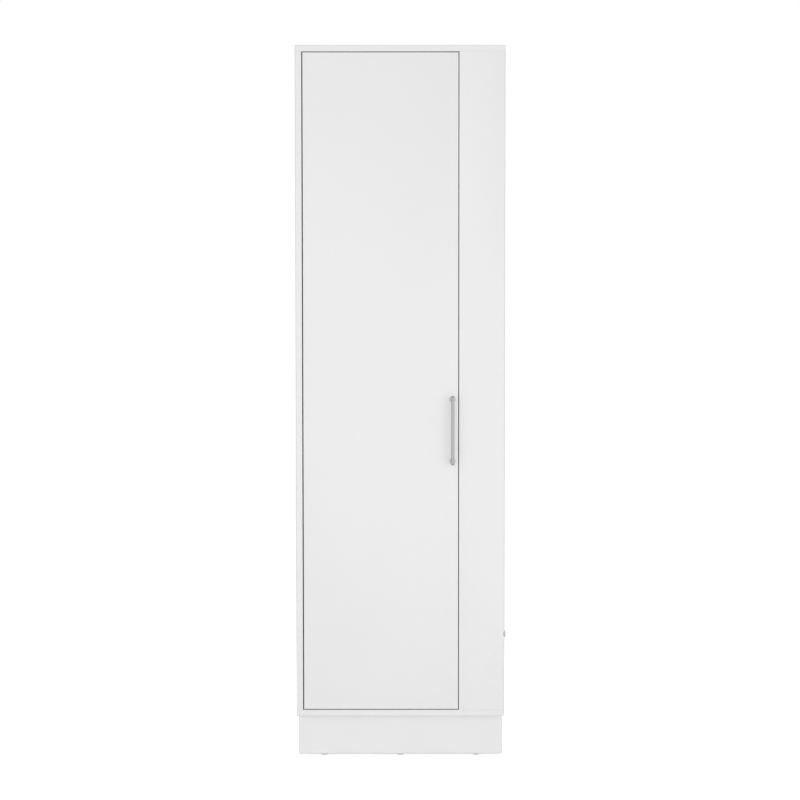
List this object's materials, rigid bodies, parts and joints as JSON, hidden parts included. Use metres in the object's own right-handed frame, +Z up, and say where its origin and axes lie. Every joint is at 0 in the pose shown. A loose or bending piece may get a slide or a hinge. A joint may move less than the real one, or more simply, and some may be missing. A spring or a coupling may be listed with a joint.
{
  "type": "broom cupboard",
  "caption": "Tall cupboard on a recessed plinth, with a side-hung inset door in front of shelves and an open broom bay behind a fixed strip.",
  "frame": {"origin": "middle of the footprint of the bounding box, on the floor under the glides", "axes": "+Z up, -Y out of the front with the door and the handle, +X to the right seen from the front"},
  "size_m": [0.5024, 0.38, 1.72],
  "materials": {
    "white_board": "satin white melamine-faced board, edges banded in the same white",
    "back_sheet": "thin hardboard, painted white",
    "satin_metal": "satin grey metal",
    "hinge_steel": "nickel-plated steel",
    "grey_plastic": "grey moulded plastic",
    "pale_plastic": "off-white moulded plastic"
  },
  "bodies": {
    "cabinet": {"left_side_panel": "white_board", "divider_panel": "white_board", "top_panel": "white_board", "bottom_panel": "white_board", "front_fascia": "white_board", "rear_board": "white_board", "plinth_front": "white_board", "plinth_rear": "white_board", "plinth_left": "white_board", "plinth_right": "white_board", "shelf_1_loose": "white_board", "shelf_2_fixed": "white_board", "shelf_3_loose": "white_board", "shelf_4_fixed": "white_board", "back_panel_lower": "back_sheet", "back_panel_upper": "back_sheet", "broom_rail": "hinge_steel", "rail_screw_front": "hinge_steel", "rail_screw_rear": "hinge_steel", "hinge_arm_lower": "hinge_steel", "hinge_arm_middle": "hinge_steel", "hinge_arm_upper": "hinge_steel", "hinge_plate_lower": "hinge_steel", "hinge_plate_middle": "hinge_steel", "hinge_plate_upper": "hinge_steel", "broom_clip_1": "grey_plastic", "broom_clip_2": "grey_plastic", "broom_clip_3": "grey_plastic", "broom_clip_4": "grey_plastic", "back_joint_strip": "pale_plastic", "catch_magnet": "pale_plastic", "glide_front_left": "pale_plastic", "glide_front_middle": "pale_plastic", "glide_front_right": "pale_plastic", "glide_rear_left": "pale_plastic", "glide_rear_middle": "pale_plastic", "glide_rear_right": "pale_plastic", "shelf_1_pin_front_left": "pale_plastic", "shelf_1_pin_front_right": "pale_plastic", "shelf_1_pin_rear_left": "pale_plastic", "shelf_1_pin_rear_right": "pale_plastic", "shelf_3_pin_front_left": "pale_plastic", "shelf_3_pin_front_right": "pale_plastic", "shelf_3_pin_rear_left": "pale_plastic", "shelf_3_pin_rear_right": "pale_plastic"},
    "door": {"door_panel": "white_board", "handle_grip": "satin_metal", "handle_post_lower": "satin_metal", "handle_post_upper": "satin_metal", "handle_screw_lower": "hinge_steel", "handle_screw_upper": "hinge_steel", "catch_strike": "hinge_steel", "hinge_cup_lower": "hinge_steel", "hinge_cup_middle": "hinge_steel", "hinge_cup_upper": "hinge_steel", "hinge_pin_lower": "hinge_steel", "hinge_pin_middle": "hinge_steel", "hinge_pin_upper": "hinge_steel"}
  },
  "joints": [
    {"name": "door_swing", "type": "hinge", "parent": "cabinet", "child": "door", "pos_m": [-0.2225, -0.1525, 0.9], "axis": [0, 0, -1], "range_deg": [0, 95]}
  ]
}
